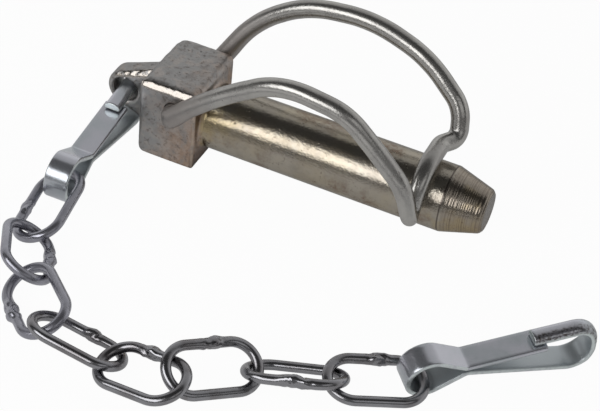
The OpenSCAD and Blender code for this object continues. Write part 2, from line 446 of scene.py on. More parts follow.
@dataclass(frozen=True)
class ForgingFinish(Finish):
    """Plated forging: a dull pitted head, a glossy shank, a worn top edge and a turned tip."""

    head_color: tuple[float, float, float] = (0.36, 0.355, 0.35)
    rust_color: tuple[float, float, float] = (0.36, 0.262, 0.2)
    # Dark specks, and also the painted shade low on the head's shoulder face.
    speck_and_shade_color: tuple[float, float, float] = (0.05, 0.035, 0.03)
    yellow: tuple[float, float, float] = (0.42, 0.33, 0.16)
    head_roughness: float = 0.42

    def dress(self, desk: NodeDesk, where: bpy.types.NodeSocket, color: bpy.types.NodeSocket, rough: bpy.types.NodeSocket, height: bpy.types.NodeSocket) -> tuple[bpy.types.NodeSocket, bpy.types.NodeSocket, bpy.types.NodeSocket]:
        """Dulls and browns the head, paints shade low on its shoulder face and a highlight down its front right edge,
        brightens its worn edge, tints the shank and turns rings on the tip, with painted shade in the rings and at
        the cone's start.
        """
        split = desk.node("ShaderNodeSeparateXYZ")
        desk.link(where, split.inputs[0])
        x, y, z = split.outputs
        head = desk.ramp(x, 0.0013, 0.0006)
        broad = desk.noise(where, 150.0, 5.0, 0.65)
        lean = desk.math("MULTIPLY_ADD", desk.math("SUBTRACT", x, desk.math("MULTIPLY", z, 0.5)), 60.0, 0.5)
        rust = desk.ramp(desk.math("MULTIPLY_ADD", desk.math("SUBTRACT", broad, 0.5), 1.6, lean), -0.2, 0.5)
        fine = desk.noise(where, 900.0, 4.0, 0.7)
        mid = desk.noise(where, 420.0, 3.0, 0.6)
        rust = desk.math("MULTIPLY", rust, desk.ramp(mid, 0.3, 0.55, 0.3, 1.0))
        skin = desk.blend(rust, (*self.head_color, 1.0), (*self.rust_color, 1.0))
        skin = desk.blend(desk.ramp(mid, 0.48, 0.62, 0.0, 0.4), skin, (0.51, 0.45, 0.41, 1.0))
        skin = desk.blend(desk.ramp(mid, 0.44, 0.34, 0.0, 0.26), skin, (0.15, 0.11, 0.09, 1.0))
        skin = desk.blend(desk.ramp(fine, 0.52, 0.66, 0.0, 0.5), skin, (0.11, 0.085, 0.075, 1.0))
        speck = desk.math("MULTIPLY", desk.ramp(desk.noise(where, 520.0, 2.0, 0.5), 0.7, 0.78), 0.9)
        skin = desk.blend(speck, skin, (*self.speck_and_shade_color, 1.0))
        # Painted shade: the head's shoulder face is darkened towards its bottom.
        shoulder_shade = desk.math("MULTIPLY", desk.ramp(z, -0.002, -0.0102), desk.ramp(x, -0.0012, -0.0002))
        skin = desk.blend(desk.math("MULTIPLY", shoulder_shade, 0.8), skin, (*self.speck_and_shade_color, 1.0))
        color = desk.blend(head, color, skin)
        rough = desk.math("ADD", rough, desk.math("MULTIPLY", head, self.head_roughness - self.roughness), clamp=True)
        facing = desk.math("MULTIPLY_ADD", y, -0.788, desk.math("MULTIPLY", z, 0.616))
        worn = desk.math("MULTIPLY", desk.ramp(facing, 0.0136, 0.0139), desk.ramp(x, -0.0005, -0.003))
        worn = desk.math("MULTIPLY", worn, desk.ramp(desk.noise(where, 700.0, 3.0, 0.6), 0.3, 0.5, 0.55, 1.0))
        slope = desk.math("MULTIPLY_ADD", y, -0.783, desk.math("MULTIPLY", z, 0.591))
        slope = desk.math("MULTIPLY_ADD", x, -0.195, slope)
        rim = desk.math("MULTIPLY", desk.ramp(slope, 0.00896, 0.0091), desk.ramp(x, -0.0155, -0.016))
        scratch = desk.noise(where, 1000.0, 3.0, 0.6)
        worn = desk.math("MAXIMUM", worn, desk.math("MULTIPLY", rim, desk.ramp(scratch, 0.42, 0.52)))
        color = desk.blend(worn, color, (0.36, 0.33, 0.3, 1.0))
        rough = desk.math("SUBTRACT", rough, desk.math("MULTIPLY", worn, 0.26), clamp=True)
        warm = desk.math("MULTIPLY", desk.ramp(desk.noise(where, 90.0, 4.0, 0.6), 0.45, 0.65), desk.ramp(x, 0.0, 0.0006))
        ends = desk.math("ADD", desk.ramp(x, 0.014, 0.001), desk.ramp(x, 0.055, 0.061), clamp=True)
        color = desk.blend(desk.math("MULTIPLY", warm, desk.math("MULTIPLY_ADD", ends, 0.5, 0.16)), color, (*self.yellow, 1.0))
        ring = desk.node("ShaderNodeTexNoise", noise_dimensions="1D")
        ring.inputs["Scale"].default_value = 2300.0
        ring.inputs["Detail"].default_value = 3.0
        desk.link(x, ring.inputs["W"])
        tip = desk.ramp(x, 0.0608, 0.0622)
        turned = desk.math("MULTIPLY", desk.math("SUBTRACT", ring.outputs["Fac"], 0.5), 6.0)
        height = desk.math("ADD", height, desk.math("MULTIPLY", tip, turned))
        # Painted shade: the turned grooves on the tip and the crease where the cone starts are darkened.
        groove_shade = desk.math("MULTIPLY", tip, desk.ramp(ring.outputs["Fac"], 0.5, 0.38, 0.0, 0.4))
        border = desk.math("ABSOLUTE", desk.math("SUBTRACT", x, 0.06085))
        groove_shade = desk.math("MAXIMUM", groove_shade, desk.ramp(border, 0.00026, 0.0001, 0.0, 0.75))
        color = desk.blend(groove_shade, color, (0.07, 0.055, 0.05, 1.0))
        shank = desk.ramp(x, 0.0004, 0.0012)
        peel = desk.math("SUBTRACT", desk.noise(where, 3000.0, 3.0, 0.7), 0.5)
        height = desk.math("ADD", height, desk.math("MULTIPLY", shank, desk.math("MULTIPLY", peel, 0.35)))
        dots = desk.math("MULTIPLY", desk.ramp(desk.noise(where, 1500.0, 3.0, 0.7), 0.6, 0.68), shank)
        patchy = desk.ramp(desk.noise(where, 130.0, 4.0, 0.6), 0.42, 0.6, 0.15, 0.8)
        color = desk.blend(desk.math("MULTIPLY", dots, patchy), color, (0.12, 0.085, 0.06, 1.0))
        dirt = desk.ramp(desk.noise(where, 75.0, 5.0, 0.7), 0.5, 0.64, 0.0, 0.75)
        ragged = desk.ramp(desk.noise(where, 800.0, 4.0, 0.75), 0.4, 0.6, 0.1, 1.0)
        dirt = desk.math("MULTIPLY", desk.math("MULTIPLY", dirt, ragged), shank)
        dirt = desk.math("MULTIPLY", dirt, desk.ramp(facing, 0.0074, 0.005, 0.15, 1.0))
        color = desk.blend(dirt, color, (0.2, 0.14, 0.105, 1.0))
        rough = desk.math("MULTIPLY_ADD", dirt, 0.12, rough)
        color = desk.blend(desk.math("MULTIPLY", tip, 0.35), color, (0.2, 0.155, 0.125, 1.0))
        # Painted highlight: a light warm band down the head's front right vertical edge.
        corner = desk.math("MULTIPLY_ADD", y, -0.707, desk.math("MULTIPLY", x, 0.707))
        corner = desk.math("MULTIPLY", desk.ramp(corner, 0.00672, 0.00702), desk.ramp(x, 0.0013, 0.0006))
        corner = desk.math("MULTIPLY", corner, desk.ramp(mid, 0.36, 0.5, 0.35, 0.9))
        color = desk.blend(corner, color, (0.5, 0.42, 0.34, 1.0))
        rough = desk.math("SUBTRACT", rough, desk.math("MULTIPLY", corner, 0.12), clamp=True)
        height = desk.math("ADD", height, desk.math("MULTIPLY", head, desk.math("MULTIPLY_ADD", mid, 1.2, fine)))
        return color, rough, height


@dataclass(frozen=True)
class WireFinish(Finish):
    """Plated spring wire: satin, and matt where it is bent into the head."""

    matt_color: tuple[float, float, float] = (0.35, 0.325, 0.31)
    matt_roughness: float = 0.2

    def dress(self, desk: NodeDesk, where: bpy.types.NodeSocket, color: bpy.types.NodeSocket, rough: bpy.types.NodeSocket, height: bpy.types.NodeSocket) -> tuple[bpy.types.NodeSocket, bpy.types.NodeSocket, bpy.types.NodeSocket]:
        """Dulls the wire's ends."""
        split = desk.node("ShaderNodeSeparateXYZ")
        desk.link(where, split.inputs[0])
        ragged = desk.math("MULTIPLY", desk.noise(where, 500.0, 3.0, 0.6), 0.008)
        matt = desk.ramp(desk.math("ADD", split.outputs[0], ragged), 0.013, 0.0)
        color = desk.blend(matt, color, (*self.matt_color, 1.0))
        rough = desk.math("ADD", rough, desk.math("MULTIPLY", matt, self.matt_roughness), clamp=True)
        return color, rough, height


@dataclass(frozen=True)
class StripFinish(Finish):
    """Plated strip: worn rims and sheared ends, lightened in the colour as a painted highlight, and a painted dark
    reflection on the nose's side.
    """

    # The worn rims and sheared ends, made light as a painted highlight.
    worn_rim_and_highlight_color: tuple[float, float, float] = (0.66, 0.72, 0.71)
    # The painted dark reflection on the nose's near side.
    dark_reflection_color: tuple[float, float, float] = (0.09, 0.08, 0.075)
    inner_color: tuple[float, float, float] = (0.45, 0.485, 0.505)

    def dress(self, desk: NodeDesk, where: bpy.types.NodeSocket, color: bpy.types.NodeSocket, rough: bpy.types.NodeSocket, height: bpy.types.NodeSocket) -> tuple[bpy.types.NodeSocket, bpy.types.NodeSocket, bpy.types.NodeSocket]:
        """Lightens the worn rims and sheared ends as a painted highlight, and paints a speckled dark reflection on
        the nose's side.
        """
        rim = desk.node("ShaderNodeAttribute", attribute_name="rim").outputs["Fac"]
        dark_reflection = desk.node("ShaderNodeAttribute", attribute_name="dark_reflection").outputs["Fac"]
        inner = desk.node("ShaderNodeAttribute", attribute_name="inner").outputs["Fac"]
        color = desk.blend(inner, color, (*self.inner_color, 1.0))
        rough = desk.math("MULTIPLY_ADD", inner, 0.16, rough)
        # Painted highlight: the worn rims and sheared ends take a light colour in patches.
        patchy = desk.ramp(desk.noise(where, 800.0, 3.0, 0.6), 0.35, 0.55, 0.3, 0.8)
        worn = desk.math("MULTIPLY", rim, patchy, clamp=True)
        color = desk.blend(worn, color, (*self.worn_rim_and_highlight_color, 1.0))
        rough = desk.math("MULTIPLY_ADD", rim, 0.1, rough)
        # Painted dark reflection: the nose's near side is darkened in specks.
        specks = desk.ramp(desk.noise(where, 1700.0, 3.0, 0.7), 0.34, 0.56, 1.0, 0.3)
        color = desk.blend(desk.math("MULTIPLY", dark_reflection, specks), color, (*self.dark_reflection_color, 1.0))
        return color, rough, height


# The pieces


@dataclass
class PinBody:
    """The forged head with its lug, and the turned shank."""

    voxel: float = 0.3
    shank_r: float = 8.0
    shank_end: float = 61.0
    tip_end: float = 70.5
    tip_r: float = 5.2
    edge_r: float = 1.0
    root_r: float = 1.0
    lug_at: tuple[float, float] = (-22.4, 0.2)
    lug_r: float = 4.9
    lug_lean: float = 111.4
    lug_half: float = 2.95
    lug_hole_r: float = 3.15
    lug_round: float = 1.4

    def profile(self, x: Array) -> Array:
        """The shank's radius at distances from the shoulder, in mm."""
        slope = (self.shank_r - self.tip_r) / (self.tip_end - self.shank_end)
        cone = self.shank_r - slope * (x - self.shank_end)
        radius = np.where(x > self.shank_end, cone, self.shank_r)
        root = np.clip(self.root_r - x, 0.0, self.root_r)
        fillet = self.root_r - np.sqrt(np.maximum(self.root_r**2 - root**2, 0.0))
        lead = np.clip(x - (self.tip_end - self.edge_r), 0.0, self.edge_r)
        round_off = self.edge_r - np.sqrt(np.maximum(self.edge_r**2 - lead**2, 0.0))
        return radius + fillet - round_off

    def skin(self) -> bpy.types.Mesh:
        """A dense even skin over the CAD piece, as a new mesh."""
        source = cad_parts["pin"]
        copy = bpy.data.objects.new("pin_skin_source", source.data.copy())
        bpy.context.scene.collection.objects.link(copy)
        remesh = copy.modifiers.new("even", "REMESH")
        remesh.mode = "VOXEL"
        remesh.voxel_size = self.voxel * MM
        remesh.use_smooth_shade = True
        bpy.context.view_layer.update()
        graph = bpy.context.evaluated_depsgraph_get()
        mesh = bpy.data.meshes.new_from_object(copy.evaluated_get(graph))
        bpy.data.objects.remove(copy)
        mesh.name = "pin_skin"
        return mesh

    def relax(self, mesh: bpy.types.Mesh, points: Array, share: Array, rounds: int) -> Array:
        """Evens the skin by moving each point towards the middle of its neighbours.

        Args:
            mesh: The skin, for its edges.
            points: Its points in mm.
            share: How far each point moves, from 0 to 1.
            rounds: How many times.

        Returns:
            The moved points.
        """
        edges = np.zeros(len(mesh.edges) * 2, np.int64)
        mesh.edges.foreach_get("vertices", edges)
        a, b = edges[0::2], edges[1::2]
        count = np.bincount(edges, minlength=len(points))[:, None]
        for _ in range(rounds):
            total = np.zeros_like(points)
            np.add.at(total, a, points[b])
            np.add.at(total, b, points[a])
            points = points + (total / count - points) * share[:, None]
        return points

    def true_shank(self, points: Array) -> Array:
        """Puts the points of the shank's wall back on its true profile."""
        x = points[:, 0]
        radial = np.linalg.norm(points[:, 1:], axis=1)
        target = self.profile(x)
        wall = (x > 0.45) & (x < self.tip_end - 0.1) & (np.abs(radial - target) < 0.45)
        scale = np.where(wall, target / np.maximum(radial, 1e-6), 1.0)
        out = points.copy()
        out[:, 1:] *= scale[:, None]
        return out

    def cut_plane(self, points: Array, normal: Sequence[float], corner: Sequence[float], rounding: float, slack: Array, on_lug: bool = False) -> Array:
        """Cuts the head along a plane and rounds the cut into the faces beside it.

        Args:
            points: The skin in mm.
            normal: The way that the plane faces.
            corner: A point of the plane.
            rounding: The size of the rounding.
            slack: How much less is cut at each point.
            on_lug: Whether the lug is cut in place of the head.

        Returns:
            The skin after the cut.
        """
        out = unit(np.array(normal, float))
        depth = points @ out - np.array(corner, float) @ out - slack
        x, y, z = points.T
        if on_lug:
            near = (x < -15.6) & (y < 0.0) & (z > 0.0) & (depth > -1.5)
        else:
            near = (x < 0.05) & (x > -15.15) & (z > 8.0) & ((z > 8.8) | (np.abs(y) > 3.4)) & (depth > -1.5)
        cut = rounding * np.logaddexp(0.0, depth / rounding)
        return points - np.where(near, cut, 0.0)[:, None] * out

    def wear_edges(self, points: Array) -> Array:
        """Wears the front top edge down to a steep flat under a narrow shoulder, and rounds the others."""
        along = smooth_step(-0.2, -1.6, points[:, 0]) * smooth_step(-15.0, -14.0, points[:, 0])
        ragged = np.array([noise.noise(Vector((x * 0.8, y * 0.5, 4.2))) for x, y in points[:, :2]])
        slack = (1.0 - along) * 0.7 + 0.16 * ragged
        points = self.cut_plane(points, (0.0, -0.36, 0.93), (0.0, -8.3, 11.1), 0.06, slack)
        points = self.cut_plane(points, (0.0, -0.8, 0.6), (0.0, -9.3, 10.7), 0.07, slack)
        plain = 0.15 * ragged
        points = self.cut_plane(points, (0.7, 0.0, 0.7), (0.0, 0.0, 9.9), 0.25, plain)
        points = self.cut_plane(points, (-0.7, 0.0, 0.7), (-15.0, 0.0, 9.6), 0.25, plain)
        return self.cut_plane(points, (-0.58, 0.58, 0.58), (-15.0, 10.25, 8.3), 0.3, plain)

    def round_lug(self, points: Array) -> Array:
        """Rounds the lug's rim and the edge of its hole like a forged eye."""
        x, y, z = points.T
        px, pz = x - self.lug_at[0], z - self.lug_at[1]
        lean = math.radians(self.lug_lean)
        radial = np.hypot(px, pz)
        pointing = np.abs(np.arctan2(pz, px)) > lean
        rim = np.where(pointing, radial, px * math.cos(lean) + np.abs(pz) * math.sin(lean)) - self.lug_r
        rim_x = np.where(pointing, px / np.maximum(radial, 0.1), math.cos(lean))
        rim_z = np.where(pointing, pz / np.maximum(radial, 0.1), math.sin(lean) * np.sign(pz))
        out = points.copy()
        fade = smooth_step(-14.9, -16.4, x)
        for depth, dx, dz, r in (
            (rim, rim_x, rim_z, self.lug_round),
            (self.lug_hole_r - radial, -px / np.maximum(radial, 0.1), -pz / np.maximum(radial, 0.1), 0.9),
        ):
            a, b = depth + r, np.abs(y) - self.lug_half + r
            reach = np.hypot(a, b)
            cut = np.where((a > 0.0) & (b > 0.0) & (reach > r) & (x < -14.9), (reach - r) * fade, 0.0)
            share = cut / np.maximum(reach, 1e-6)
            out[:, 0] -= share * a * dx
            out[:, 2] -= share * a * dz
            out[:, 1] -= share * b * np.sign(y)
        return out

    def wear_lug(self, points: Array) -> Array:
        """Flattens a scuffed patch on the front of the lug's rim."""
        facing = unit(np.array([-0.194, -0.78, 0.589]))
        x, y, z = points.T
        rim = (x < -15.8) & (x > -25.0) & (y < 0.0) & (z > 4.0)
        top = float((points[rim] @ facing).max())
        ragged = np.array([noise.noise(Vector((a * 0.9, b * 0.9, 2.6))) for a, b in points[:, :2]])
        log.info("lug rim reaches %.3f", top)
        return self.cut_plane(points, facing, facing * (top - 0.4), 0.05, 0.16 * ragged, True)

    def forge(self, points: Array, normals: Array) -> Array:
        """Gives the head its uneven forged surface."""
        x = points[:, 0]
        head = smooth_step(0.2, -0.6, x)
        bore = np.hypot(x + 5.8, points[:, 2] - 5.0) < 2.9
        head = np.where(bore, 0.0, head)
        lift = np.zeros(len(points))
        for i in np.nonzero(head > 0.0)[0]:
            p = Vector(points[i])
            broad = noise.noise(p * 0.16 + Vector((3.1, 7.7, 1.3)))
            mid = noise.noise(p * 0.55)
            fine = noise.noise(p * 1.6)
            lift[i] = 0.1 * broad + 0.035 * mid + 0.02 * fine
        return points + normals * (lift * head)[:, None]

    def build(self, material: bpy.types.Material) -> bpy.types.Object:
        """Makes the piece."""
        mesh = self.skin()
        count = len(mesh.vertices)
        flat = np.zeros(count * 3, np.float32)
        mesh.vertices.foreach_get("co", flat)
        points = flat.reshape(-1, 3).astype(float) / MM
        shank = smooth_step(-0.2, 0.6, points[:, 0])
        points = self.relax(mesh, points, 0.5 * (1.0 - shank) + 0.12 * shank, 4)
        points = self.round_lug(self.wear_edges(self.true_shank(points)))
        points = self.wear_lug(points)
        mesh.vertices.foreach_set("co", (points * MM).astype(np.float32).ravel())
        mesh.update()
        normals = np.zeros(count * 3, np.float32)
        mesh.vertices.foreach_get("normal", normals)
        points = self.forge(points, normals.reshape(-1, 3).astype(float))
        mesh.vertices.foreach_set("co", (points * MM).astype(np.float32).ravel())
        mesh.update()
        mesh.shade_smooth()
        return add_piece(mesh, "pin", material)


@dataclass
class Bail:
    """The sprung wire bail."""

    radius: float = 2.2
    sides: int = 40
    elbow_swell: float = 1.1
    corners: Sequence[Sequence[float]] = (
        (-5.8, -6, 5), (-5.8, -12.9, 5), (7.5, -15, 18), (23, -16.8, 29), (39, -17, 27), (46, -16.2, 20),
        (54, -15.2, 11), (56.4, -15, 2.9), (55.3, -10.7, 1), (55.3, -7.2, 10.3), (55.3, 5, 10.3),
        (58, 9.5, 10), (56.5, 12.5, 16.5), (46, 15.5, 24.5), (31, 17.3, 28.5), (14.5, 17.3, 26.5),
        (2, 16.5, 18), (-5.8, 12.9, 5), (-5.8, 6, 5),
    )
    bends: Sequence[float] = (0, 2.4, 0, 0, 0, 0, 0, 2.4, 2.4, 10.3, 3, 3, 0, 0, 0, 0, 0, 2.4, 0)

    def build(self, material: bpy.types.Material) -> bpy.types.Object:
        """Sweeps the wire and adds the faint dents of its bending."""
        line = Route(self.corners, self.bends).points()
        side, top = transported(line, np.array([0.0, 0.0, 1.0]), False)
        angle = np.linspace(0.0, math.tau, self.sides, endpoint=False)
        ring = side[:, None] * np.cos(angle)[None, :, None] + top[:, None] * np.sin(angle)[None, :, None]
        inset = np.ones(len(line))
        inset[0] = inset[-1] = 0.86
        wander = np.array([1.0 + 0.012 * noise.noise(Vector(p) * 0.35) for p in line])
        pinch = np.array([56.0, -13.5, 2.0])
        slim = 1.0 - 0.12 * np.exp(-(((np.linalg.norm(line - pinch, axis=1)) / 6.0) ** 2))
        rings = line[:, None] + ring * (self.radius * inset * wander * slim)[:, None, None]
        elbow = smooth_step(10.6, 11.6, np.abs(line[:, 1])) * smooth_step(0.5, -4.5, line[:, 0])
        rings[:, :, 2] += (self.elbow_swell * elbow)[:, None] * np.minimum(ring[:, :, 2], 0.0)
        mesh = grid_mesh("bail_wire", rings, False)
        return add_piece(mesh, "bail", material)


@dataclass
class SnapHook:
    """A snap hook bent from one strip."""

    node: str
    at: tuple[float, float, float]
    heading: float
    pitch: float
    roll: float
    width: float = 5.8
    thickness: float = 1.2
    nose_width: float = 3.9
    edge_r: float = 0.34
    # How strongly the nose's near side takes its painted dark reflection.
    dark_reflection: float = 0.0
    eye_at: tuple[float, float] = (-8.5, -1.35)
    eye_r: float = 4.75
    eye_flat: float = 0.4
    front: tuple[float, float] = (0.0, -0.6)
    front_end: tuple[float, float] = (18.5, 0.3)
    back: tuple[float, float] = (0.3, -2.15)
    back_slope: float = -0.255
    end_x: float = 30.4
    bend_r: float = 4.9
    nose_y: float = 2.65
    nose_end: tuple[float, float] = (15.5, 2.05)
    crown: float = 0.85
    belly: float = 0.35

    def placing(self) -> Matrix:
        """The hook's place in the row frame, in mm."""
        turn = Matrix.Rotation(math.radians(self.heading), 4, "Z")
        turn = turn @ Matrix.Rotation(math.radians(self.pitch), 4, "Y")
        turn = turn @ Matrix.Rotation(math.radians(90.0 + self.roll), 4, "X")
        return Matrix.Translation(self.at) @ turn

    def eye_corner(self, neck: tuple[float, float], lift: float, side: float) -> tuple[float, float]:
        """Where the tangent from a neck point meets the eye's back tangent."""
        cx, cy = self.eye_at[0], self.eye_at[1] + lift
        dx, dy = neck[0] - cx, neck[1] - cy
        angle = math.atan2(dy, dx) + side * math.acos(self.eye_r / math.hypot(dx, dy))
        half = (side * math.pi - angle) / 2.0
        reach = self.eye_r / math.cos(half)
        return cx + reach * math.cos(angle + half), cy + reach * math.sin(angle + half)

    def route(self) -> Route:
        """The strip's centre line in the hook's own plane."""
        low_y = self.back[1] + self.back_slope * (self.end_x - self.back[0])
        flat = [
            self.front_end,
            self.front,
            self.eye_corner(self.front, self.eye_flat / 2.0, 1.0),
            self.eye_corner(self.back, -self.eye_flat / 2.0, -1.0),
            self.back,
            (self.end_x, low_y),
            (self.end_x, self.nose_y),
            self.nose_end,
        ]
        bends = (0, 2, self.eye_r, self.eye_r, 2, self.bend_r, self.bend_r, 0)
        return Route([(p[0], p[1], 0.0) for p in flat], bends, step=0.3)

    def half_widths(self, line: Array) -> Array:
        """Half the strip's width along its line: full, and narrowed at the nose."""
        order = np.arange(len(line))
        low = int(np.argmin(line[:, 1]))
        nosed = order > low - 1
        share = np.clip((line[:, 1] + 7.0) / 6.5, 0.0, 1.0)
        wide, nose = self.width / 2.0, self.nose_width / 2.0
        return np.where(nosed, wide + (nose - wide) * share, wide)

    def section(self, half: float, crowd: float) -> Array:
        """The strip's section with rounded edges: across the width, then through the thickness."""
        r = self.edge_r * crowd
        t = self.thickness / 2.0 * crowd
        w = half - (1.0 - crowd) * self.thickness / 2.0
        across = np.linspace(-(w - r), w - r, 9)
        out = [(a, t) for a in across]
        for turn in np.linspace(90.0, -90.0, 7)[1:-1]:
            c, s = math.cos(math.radians(turn)), math.sin(math.radians(turn))
            out.append((w - r + r * c, (t - r) * (1 if turn > 0 else -1 if turn < 0 else 0) + r * s))
        out += [(a, -t) for a in across[::-1]]
        for turn in np.linspace(-90.0, 90.0, 7)[1:-1]:
            c, s = math.cos(math.radians(turn)), math.sin(math.radians(turn))
            out.append((-(w - r) - r * c, (t - r) * (1 if turn > 0 else -1 if turn < 0 else 0) + r * s))
        return np.array(out)

    def build(self, material: bpy.types.Material) -> bpy.types.Object:
        """Sweeps the strip and lays the hook in its place."""
        line = self.route().points()
        start, end = line[0] + (line[1] - line[0]) * 0.4, line[-1] + (line[-2] - line[-1]) * 0.4
        line = np.vstack([line[:1], [start], line[1:-1], [end], line[-1:]])
        tangent = np.gradient(line, axis=0)
        tangent /= np.linalg.norm(tangent, axis=1)[:, None]
        across = np.array([0.0, 0.0, 1.0])
        out = np.cross(tangent, across)
        halves = self.half_widths(line)
        crowned = np.clip((self.width / 2.0 - halves) / (self.width - self.nose_width) * 2.0, 0.0, 1.0)
        rings = []
        rim, dark_reflection, inner = [], [], []
        front_count = int(np.argmin(np.abs(line[: len(line) // 3, 0] - self.front[0])))
        last = len(line) - 1
        for i, point in enumerate(line):
            crowd = {0: 0.7, 1: 0.9, last - 1: 0.9, last: 0.7}.get(i, 1.0)
            shape = self.section(halves[i], crowd)
            upper = smooth_step(-0.25, 0.25, shape[:, 1:])
            arch = self.crown * crowned[i] * (0.42 - np.abs(shape[:, :1] / halves[i]) ** 3) * upper
            arch -= self.belly * crowned[i] * (1.0 - upper)
            rings.append(point + shape[:, :1] * across + (shape[:, 1:] + arch) * out[i])
            place = shape[:, 0] / halves[i]
            # The rims past the front leg and the sheared ends are marked for the worn colour that also serves as a
            # painted highlight.
            worn = smooth_step(0.92, 0.98, np.abs(place)) * (i > front_count)
            rim.append(np.full(len(place), 2.0) if i in (0, last) else worn)
            inner.append((shape[:, 1] < 0.0) * 1.0)
            # Painted dark reflection on the outer face of the nose's near side.
            dark_reflection.append(self.dark_reflection * crowned[i] * smooth_step(-0.15, 0.3, place) * (shape[:, 1] > 0.0))
        rings = np.array(rings)
        mesh = grid_mesh(f"{self.node}_strip", rings, False)
        for label, values, end in (("rim", rim, 2.0), ("dark_reflection", dark_reflection, 0.0), ("inner", inner, 0.0)):
            layer = mesh.attributes.new(label, "FLOAT", "POINT")
            ends = [end, end]
            layer.data.foreach_set("value", np.concatenate([np.ravel(values), ends]).astype(np.float32))
        mesh.transform(Matrix.Scale(MM, 4) @ self.placing() @ Matrix.Scale(1.0 / MM, 4))
        return add_piece(mesh, self.node, material)


@dataclass
class ChainLink:
    """One welded link."""

    number: int
    at: tuple[float, float]
    heading: float
    pitch: float
    roll: float
    lift: float
    weld_side: float
    weld_at: float
    weld_half: float
    weld_size: float
    wire_r: float = 1.15
    length: float = 23.2
    width: float = 13.3
    sides: int = 32

    def height(self) -> float:
        """How high the link's centre lies, in mm."""
        pitch, roll = math.radians(self.pitch), math.radians(self.roll)
        nx, ny = math.sin(pitch), math.cos(pitch) * math.sin(roll)
        bend = self.width / 2.0 - self.wire_r
        half = (self.length - self.width) / 2.0
        return FLOOR_Z + half * abs(nx) + bend * math.hypot(nx, ny) + self.wire_r + self.lift

    def placing(self) -> Matrix:
        """The link's place in the row frame, in mm."""
        turn = Matrix.Rotation(math.radians(self.heading), 4, "Z")
        turn = turn @ Matrix.Rotation(math.radians(self.pitch), 4, "Y")
        turn = turn @ Matrix.Rotation(math.radians(self.roll), 4, "X")
        return Matrix.Translation((*self.at, self.height())) @ turn

    def line(self) -> Array:
        """The wire's centre line in the link's own plane."""
        bend = self.width / 2.0 - self.wire_r
        half = (self.length - self.width) / 2.0
        runs = np.linspace(-half, half, 72)
        turns = np.radians(np.linspace(90.0, -90.0, 56)[1:-1])
        top = np.stack([runs, np.full_like(runs, bend)], axis=1)
        right = np.stack([half + bend * np.cos(turns), bend * np.sin(turns)], axis=1)
        flat = np.vstack([top, right, -top, -right])
        return np.hstack([flat, np.zeros((len(flat), 1))])

    def weld(self, line: Array, around: Array) -> Array:
        """The wire's radius at each point of its skin, with the rough lump of the weld."""
        bend = self.width / 2.0 - self.wire_r
        on_leg = (np.abs(line[:, 1] - bend * self.weld_side) < 0.3).astype(float)
        away = line[:, 0] - self.weld_at
        lump = 0.12 * self.weld_size * np.exp(-((away / self.weld_half) ** 2)) * on_leg
        ragged = self.weld_size * np.exp(-((away / self.weld_half) ** 4)) * on_leg
        out = np.repeat((self.wire_r + lump)[:, None], len(around), axis=1)
        for i in np.nonzero(ragged > 0.01)[0]:
            for j, turn in enumerate(around):
                p = Vector((line[i, 0] * 0.36, math.cos(turn) * 0.62, math.sin(turn) * 0.62 + self.number * 5.0))
                fold = abs(noise.noise(p)) + 0.12 * abs(noise.noise(p * 3.1))
                out[i, j] += ragged[i] * (1.1 * fold - 0.16)
        return out

    def build(self, material: bpy.types.Material) -> bpy.types.Object:
        """Sweeps the wire and lays the link in its place."""
        line = self.line()
        side, top = transported(line, np.array([0.0, 0.0, 1.0]), True)
        around = np.linspace(0.0, math.tau, self.sides, endpoint=False)
        ring = side[:, None] * np.cos(around)[None, :, None] + top[:, None] * np.sin(around)[None, :, None]
        rings = line[:, None] + ring * self.weld(line, around)[:, :, None]
        mesh = grid_mesh(f"chain_link_{self.number}", rings, True)
        mesh.transform(Matrix.Scale(MM, 4) @ self.placing() @ Matrix.Scale(1.0 / MM, 4))
        return add_piece(mesh, f"link_{self.number}", material)


@dataclass
class Chain:
    """The eight links as they lie."""

    places: Sequence[Sequence[float]] = (
        (-19.8, -43, -84, 8, 22, 0.7, -1, 1, 2, 0.9),
        (-15.6, -59.1, -61, -12, -33, 0, 1, -2, 2.8, 1),
        (-6.1, -71.5, -43, -7, 27, 0.9, -1, -1, 2.8, 1.1),
        (7.2, -77.1, 1, 10, -24, 0.1, 1, 1.5, 1.8, 1),
        (23.7, -79.5, -10, -13, 10, 1.6, 1, -1.5, 2, 0.9),
        (36, -71.6, 47, 11, 28, 1.2, 1, 1, 2.2, 1),
        (51.2, -63.4, 14, -7, -29, 0.1, -1, 1, 3.2, 0.9),
        (66.7, -56.3, 31, 5, 7, 2, 1, 1, 2.2, 1.1),
    )
    dull_links: int = 3

    def build(self, glossy: bpy.types.Material, dull: bpy.types.Material) -> list[bpy.types.Object]:
        """Makes every link.

        Args:
            glossy: The finish of most links.
            dull: The finish of the links next to the pin.

        Returns:
            The links in order.
        """
        made = []
        for number, (x, y, *rest) in enumerate(self.places, start=1):
            material = dull if number <= self.dull_links else glossy
            made.append(ChainLink(number, (x, y), *rest).build(material))
        return made


# The studio


